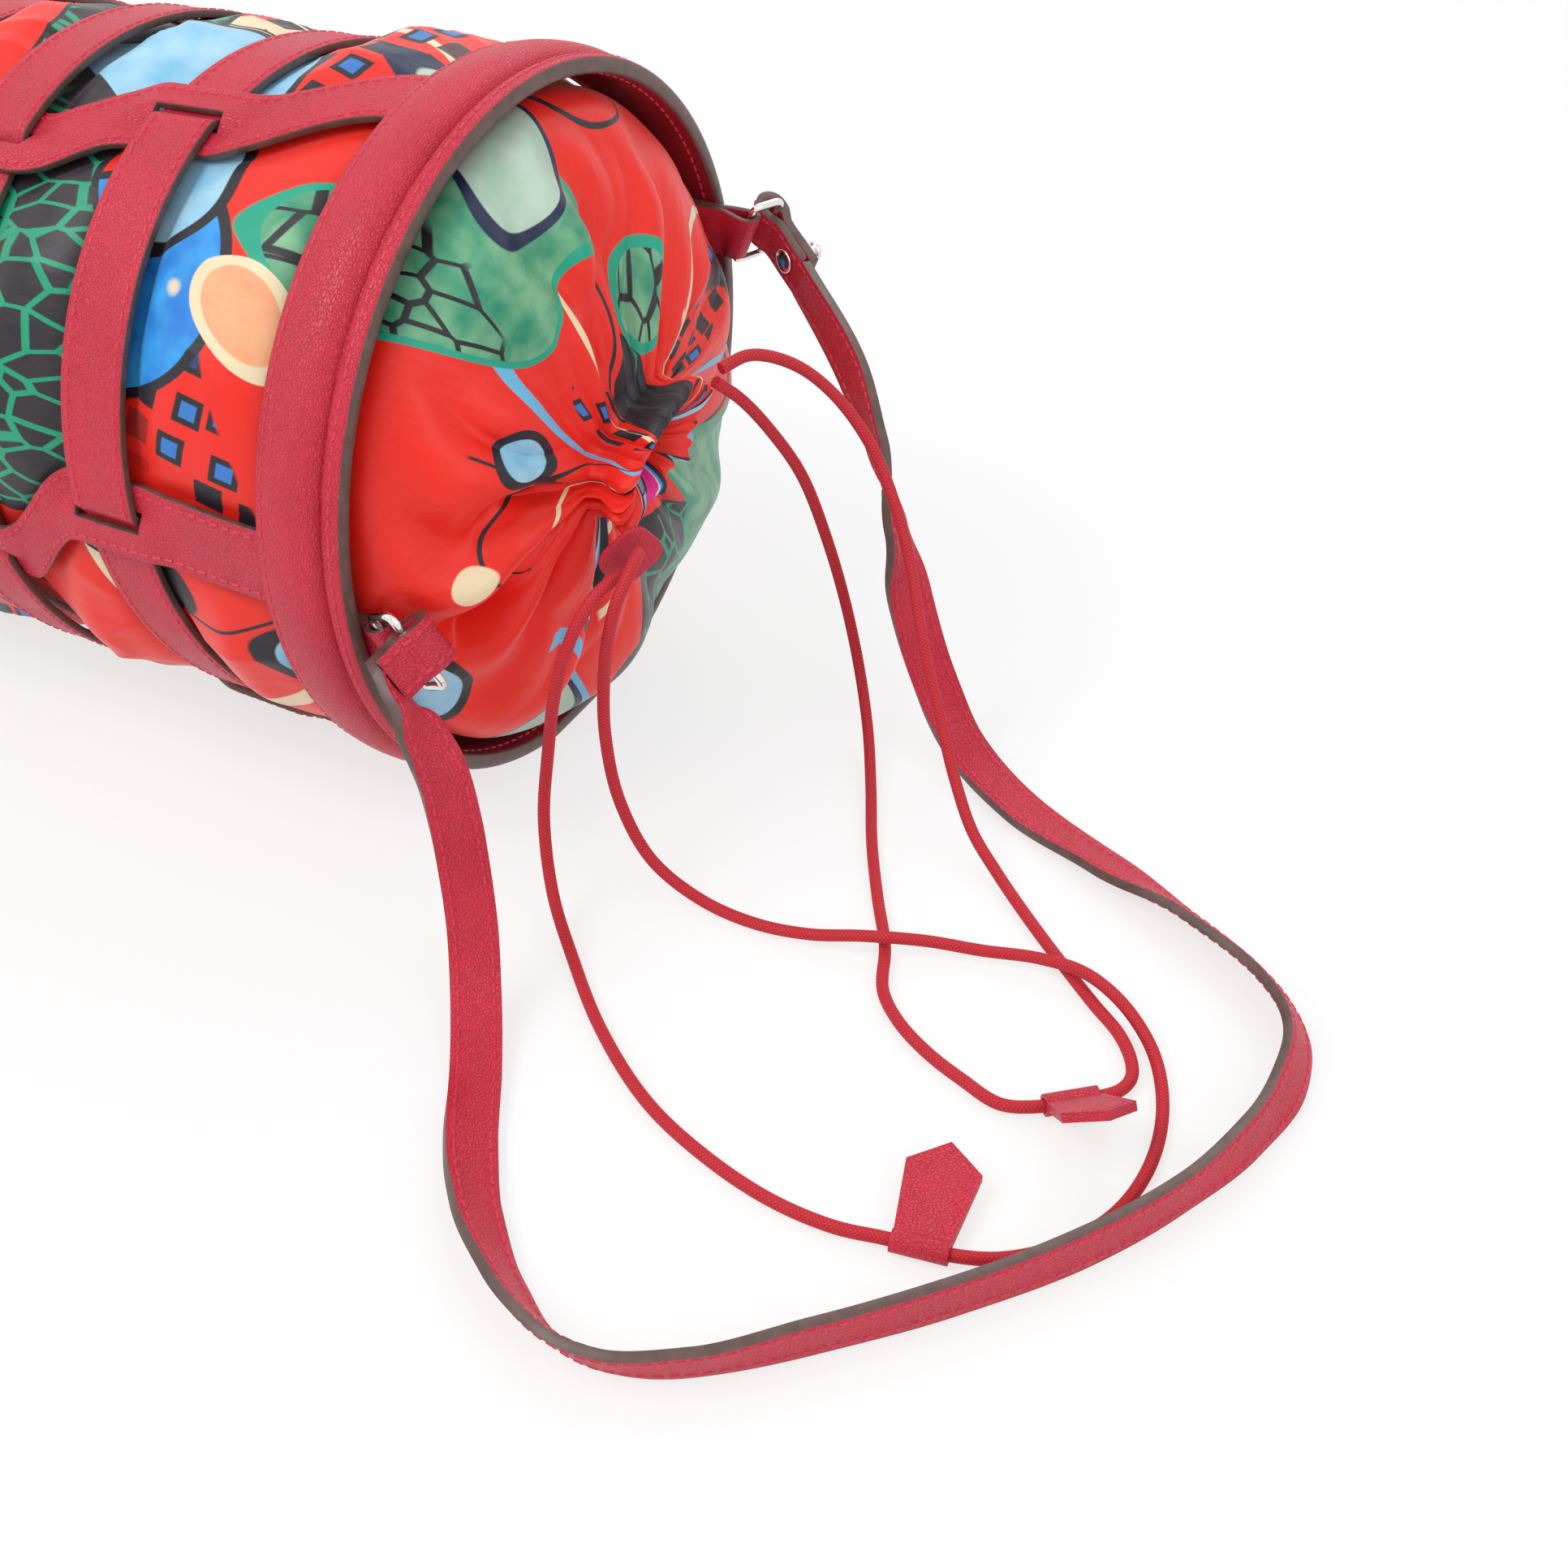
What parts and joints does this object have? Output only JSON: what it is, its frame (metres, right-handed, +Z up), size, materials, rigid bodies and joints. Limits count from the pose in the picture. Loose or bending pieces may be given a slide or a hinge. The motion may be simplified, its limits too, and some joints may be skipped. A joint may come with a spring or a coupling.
{
  "type": "kinchaku drawstring pouch",
  "caption": "Round drawstring pouch of printed silk in a woven leather cage, lying on its side, with two looped drawcords and a shoulder strap on metal rings",
  "frame": {"origin": "bottom centre of the bag's box without the drawcords, on the floor it lies on", "axes": "+X along the bag's axis out of its mouth, +Z up, the camera side is -Y"},
  "size_m": [0.5096, 0.3326, 0.2153],
  "materials": {
    "cage_leather": "pebbled, tone-on-tone stitching, painted edges",
    "lining_leather": "smooth matt",
    "strap_leather": "pebbled, stitched both sides",
    "printed_silk": "satin sheen, printed fields of colour",
    "cord_yarn": "tight round cord",
    "polished_metal": "polished"
  },
  "bodies": {
    "bag": {"silk_pouch": "printed_silk", "rim_band": "cage_leather", "rim_lining": "lining_leather", "base_cup": "cage_leather", "hoop_front": "cage_leather", "hoop_middle": "cage_leather", "hoop_rear": "cage_leather", "cage_strap_1": "cage_leather", "cage_strap_2": "cage_leather", "cage_strap_3": "cage_leather", "cage_strap_4": "cage_leather", "cage_strap_5": "cage_leather", "cage_strap_6": "cage_leather", "strap_tab_right": "strap_leather", "strap_tab_left": "strap_leather", "stud": "polished_metal", "stud_plate": "polished_metal", "shoulder_strap": "strap_leather", "exit_patch": "strap_leather", "drawcord_right": "cord_yarn", "drawcord_left": "cord_yarn", "pull_tab_right": "strap_leather", "pull_tab_left": "strap_leather"},
    "ring_right": {"strap_ring_right": "polished_metal"},
    "ring_left": {"strap_ring_left": "polished_metal"}
  },
  "joints": [
    {"name": "ring_right_swing", "type": "hinge", "parent": "bag", "child": "ring_right", "pos_m": [0.00522, 0.14901, 0.13314], "axis": [0.4226, -0.2346, 0.8754], "range_deg": [0, 20]},
    {"name": "ring_left_swing", "type": "hinge", "parent": "bag", "child": "ring_left", "pos_m": [0.00322, -0.04309, 0.09055], "axis": [-0.5, -0.1504, 0.8529], "range_deg": [0, 20]}
  ]
}
